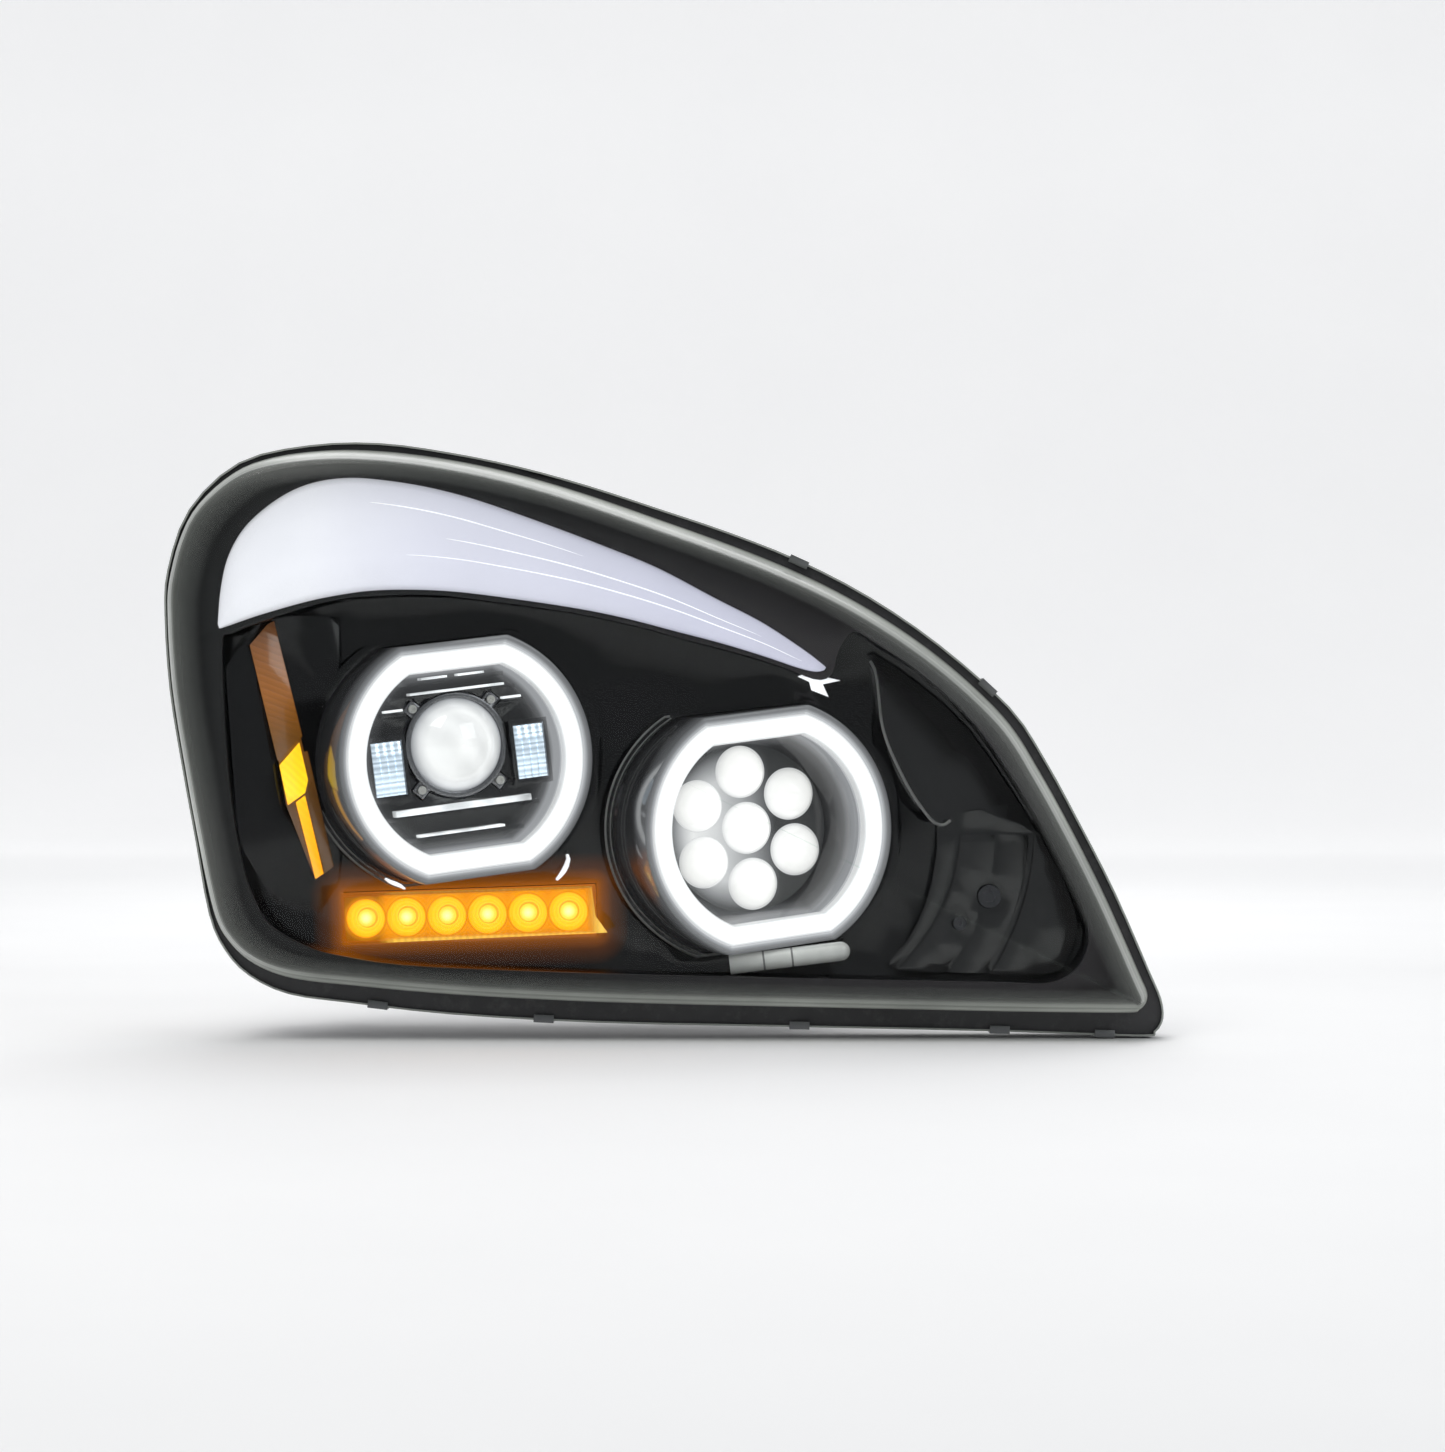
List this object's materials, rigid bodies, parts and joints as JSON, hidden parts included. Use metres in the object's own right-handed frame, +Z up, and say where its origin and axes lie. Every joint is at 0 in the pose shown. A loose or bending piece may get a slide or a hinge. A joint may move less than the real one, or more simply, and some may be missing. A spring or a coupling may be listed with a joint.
{
  "type": "vehicle headlamp",
  "caption": "Headlamp with a clear lens over a black bezel: projector low beam, clustered high beam, D-cut halo rings, running-light bar, amber turn strip and side marker, aim adjuster.",
  "frame": {"origin": "centre of the four mounting bushings, on the plane of their rear faces", "axes": "-Y out of the lens, +Y towards the vehicle, +X inboard (the pointed end), +Z up; shown as the vehicle's right-hand lamp seen from in front of it"},
  "size_m": [0.699, 0.2461, 0.4165],
  "materials": {
    "black_housing": "moulded satin",
    "clear_lens": "clear polished",
    "black_sealant": "matt",
    "clip_steel": "satin",
    "bushing_steel": "satin",
    "bezel_black": "gloss",
    "panel_black": "satin",
    "black_screw": "satin",
    "drl_white": "frosted",
    "reflector_chrome": "mirror",
    "circuit_board": "satin",
    "halo_glow": "frosted",
    "white_board": "satin",
    "amber_brown": "clear tinted",
    "amber_glow": "clear tinted",
    "amber_reflector": "mirror",
    "amber_clear": "clear tinted",
    "vial_grey": "satin",
    "grey_plastic": "satin",
    "optic_clear": "clear polished",
    "chrome_trim": "mirror",
    "cast_metal": "cast",
    "shield_steel": "satin",
    "heatsink_metal": "cast",
    "fan_black": "satin",
    "frame_plastic": "satin",
    "white_nylon": "satin",
    "seal_rubber": "matt",
    "cap_black": "satin",
    "cap_seal_red": "matt",
    "contact_brass": "bright",
    "loom_black": "matt"
  },
  "bodies": {
    "lamp": {"housing": "black_housing", "outer_lens": "clear_lens", "lens_sealant": "black_sealant", "lens_clips": "clip_steel", "mount_bushings": "bushing_steel", "bezel": "bezel_black", "inboard_panel": "panel_black", "panel_screws": "black_screw", "drl_guide": "drl_white", "drl_reflector": "reflector_chrome", "drl_board": "circuit_board", "side_marker_lens": "amber_brown", "side_marker_guide": "amber_glow", "side_marker_board": "circuit_board", "turn_housing": "bezel_black", "turn_reflector": "amber_reflector", "turn_board": "circuit_board", "turn_optics": "amber_glow", "turn_lens": "amber_clear", "level_vial": "vial_grey", "vial_cradle": "grey_plastic", "low_cup": "bezel_black", "low_halo": "halo_glow", "low_halo_board": "white_board", "high_cup": "bezel_black", "high_halo": "halo_glow", "high_halo_board": "white_board", "pivot_brackets": "cast_metal", "pivot_pins": "bushing_steel", "adjuster_seal": "seal_rubber", "adjuster_bush": "white_nylon", "driver_box": "heatsink_metal", "driver_screws": "bushing_steel", "connector_socket": "black_housing", "connector_pins": "contact_brass", "vent_elbows": "seal_rubber", "inner_harness": "loom_black"},
    "aim_unit": {"projector_lens": "optic_clear", "lens_retainer": "chrome_trim", "retainer_screws": "bushing_steel", "projector_body": "cast_metal", "cutoff_shield": "shield_steel", "low_led_board": "white_board", "low_heatsink": "heatsink_metal", "low_shroud": "bezel_black", "shroud_trim": "chrome_trim", "fan_frame": "black_housing", "high_optics": "optic_clear", "high_funnel": "bezel_black", "high_reflector": "reflector_chrome", "high_led_board": "white_board", "high_heatsink": "heatsink_metal", "aim_frame": "frame_plastic"},
    "fan": {"fan_rotor": "fan_black"},
    "stud": {"adjuster_stud": "shield_steel"},
    "knob": {"adjuster_knob": "white_nylon"},
    "cap_low": {"low_cap": "cap_black", "low_cap_seal": "cap_seal_red"},
    "cap_high": {"high_cap": "cap_black", "high_cap_seal": "cap_seal_red"}
  },
  "joints": [
    {"name": "aim_tilt", "type": "hinge", "parent": "lamp", "child": "aim_unit", "pos_m": [0.04663, -0.02727, -0.02765], "axis": [0.9327, 0.3395, 0.1219], "range_deg": [-3, 3]},
    {"name": "adjuster_slide", "type": "slide", "parent": "lamp", "child": "stud", "axis": [-0.342, 0.9397, 0], "range_m": [-0.0057, 0.0057]},
    {"name": "knob_turn", "type": "hinge", "parent": "lamp", "child": "knob", "pos_m": [-0.05443, 0.05301, 0.07085], "axis": [-0.342, 0.9397, 0], "range_deg": [-670, 670]},
    {"name": "fan_spin", "type": "hinge", "parent": "aim_unit", "child": "fan", "pos_m": [-0.07461, 0.01374, 0.00643], "axis": [-0.342, 0.9397, 0], "continuous": true},
    {"name": "low_cap_twist", "type": "hinge", "parent": "lamp", "child": "cap_low", "pos_m": [-0.087, 0.06, 0.006], "axis": [0, 1, 0], "range_deg": [-40, 0]},
    {"name": "high_cap_twist", "type": "hinge", "parent": "lamp", "child": "cap_high", "pos_m": [0.125, 0.06, -0.053], "axis": [0, 1, 0], "range_deg": [-40, 0]}
  ],
  "couplings": [
    {"joint": "adjuster_slide", "follows": "aim_tilt", "m_per_rad": -0.106},
    {"joint": "knob_turn", "follows": "aim_tilt", "ratio": -222}
  ]
}
